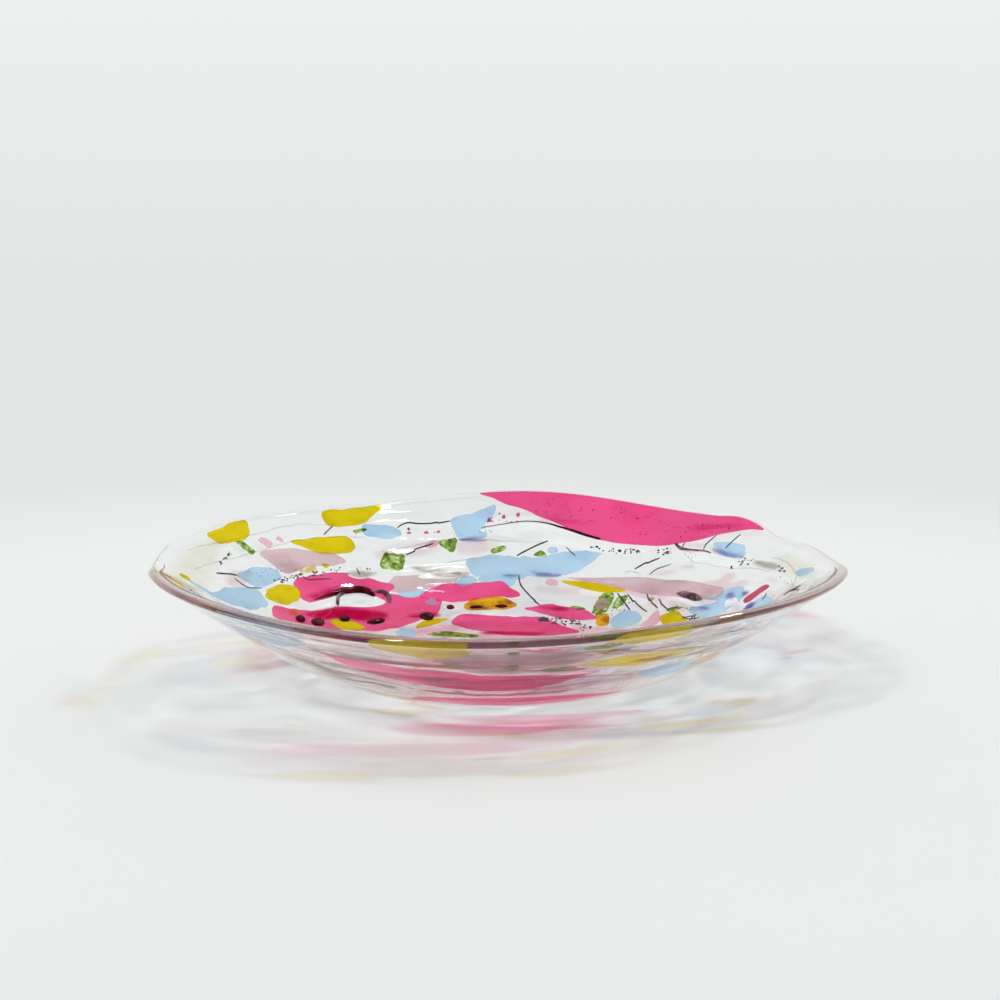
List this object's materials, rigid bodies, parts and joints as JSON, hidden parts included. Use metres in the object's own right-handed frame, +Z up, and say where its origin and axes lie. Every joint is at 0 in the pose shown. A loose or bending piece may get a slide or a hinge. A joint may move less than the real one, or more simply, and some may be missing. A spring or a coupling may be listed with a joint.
{
  "type": "fused glass bowl",
  "caption": "Wide shallow clear fused-glass bowl with a wavy rim and a flat foot, its inner face laid with coloured glass shards, chips and thin black stringers.",
  "frame": {"origin": "middle of the flat foot, on the table", "axes": "+Z up, +Y to the back where the rim is highest, +X to the right-hand side where the rim dips"},
  "size_m": [0.3962, 0.3962, 0.0808],
  "materials": {
    "clear_glass": "clear, glossy, fire-polished",
    "pink_glass": "transparent, glossy",
    "yellow_glass": "transparent, glossy",
    "amber_glass": "transparent, glossy",
    "blue_glass": "milky, glossy",
    "mauve_glass": "transparent, glossy",
    "green_glass": "crumbly frit, glossy",
    "red_glass": "transparent, glossy",
    "black_glass": "opaque, glossy"
  },
  "bodies": {
    "root": {"amber_chip_front_right": "amber_glass", "amber_drop_right": "amber_glass", "amber_lozenge_back": "amber_glass", "blue_blade_front_left": "blue_glass", "blue_block_right": "blue_glass", "blue_chip_back_left": "blue_glass", "blue_chip_left": "blue_glass", "blue_chip_right": "blue_glass", "blue_chip_right_lobe": "blue_glass", "blue_cloud_right": "blue_glass", "blue_fin_back": "blue_glass", "blue_hook_back": "blue_glass", "blue_pebble_back": "blue_glass", "blue_pebble_right": "blue_glass", "blue_sheet_floor": "blue_glass", "blue_sheet_front_right": "blue_glass", "blue_sheet_left": "blue_glass", "blue_slab_back": "blue_glass", "clear_blank": "clear_glass", "green_chip_back": "green_glass", "green_chip_back_left": "green_glass", "green_chip_left": "green_glass", "green_chip_right": "green_glass", "mauve_blade_right": "mauve_glass", "mauve_leaf_left": "mauve_glass", "mauve_ribbon_back": "mauve_glass", "mauve_sheet_floor": "mauve_glass", "mauve_sheet_front": "mauve_glass", "pink_band_back_rim": "pink_glass", "pink_blade_back": "pink_glass", "pink_blade_front": "pink_glass", "pink_leaf_back": "pink_glass", "pink_leaf_left": "pink_glass", "pink_leaf_right": "pink_glass", "pink_sheet_left": "pink_glass", "red_strip_right": "red_glass", "stringer_back_bent": "black_glass", "stringer_back_long": "black_glass", "stringer_back_short": "black_glass", "stringer_back_slant": "black_glass", "stringer_back_wavy": "black_glass", "stringer_front": "black_glass", "stringer_left": "black_glass", "stringer_right_first": "black_glass", "stringer_right_fourth": "black_glass", "stringer_right_second": "black_glass", "stringer_right_third": "black_glass", "stringer_right_upper": "black_glass", "yellow_blade_floor": "yellow_glass", "yellow_blade_front": "yellow_glass", "yellow_blade_right": "yellow_glass", "yellow_chip_left_rim": "yellow_glass", "yellow_chip_right": "yellow_glass", "yellow_fish_back": "yellow_glass", "yellow_flag_back_rim": "yellow_glass", "yellow_flag_front_rim": "yellow_glass", "yellow_flag_left_rim": "yellow_glass", "yellow_pebble_left": "yellow_glass", "yellow_rind_front_rim": "yellow_glass"}
  },
  "joints": []
}
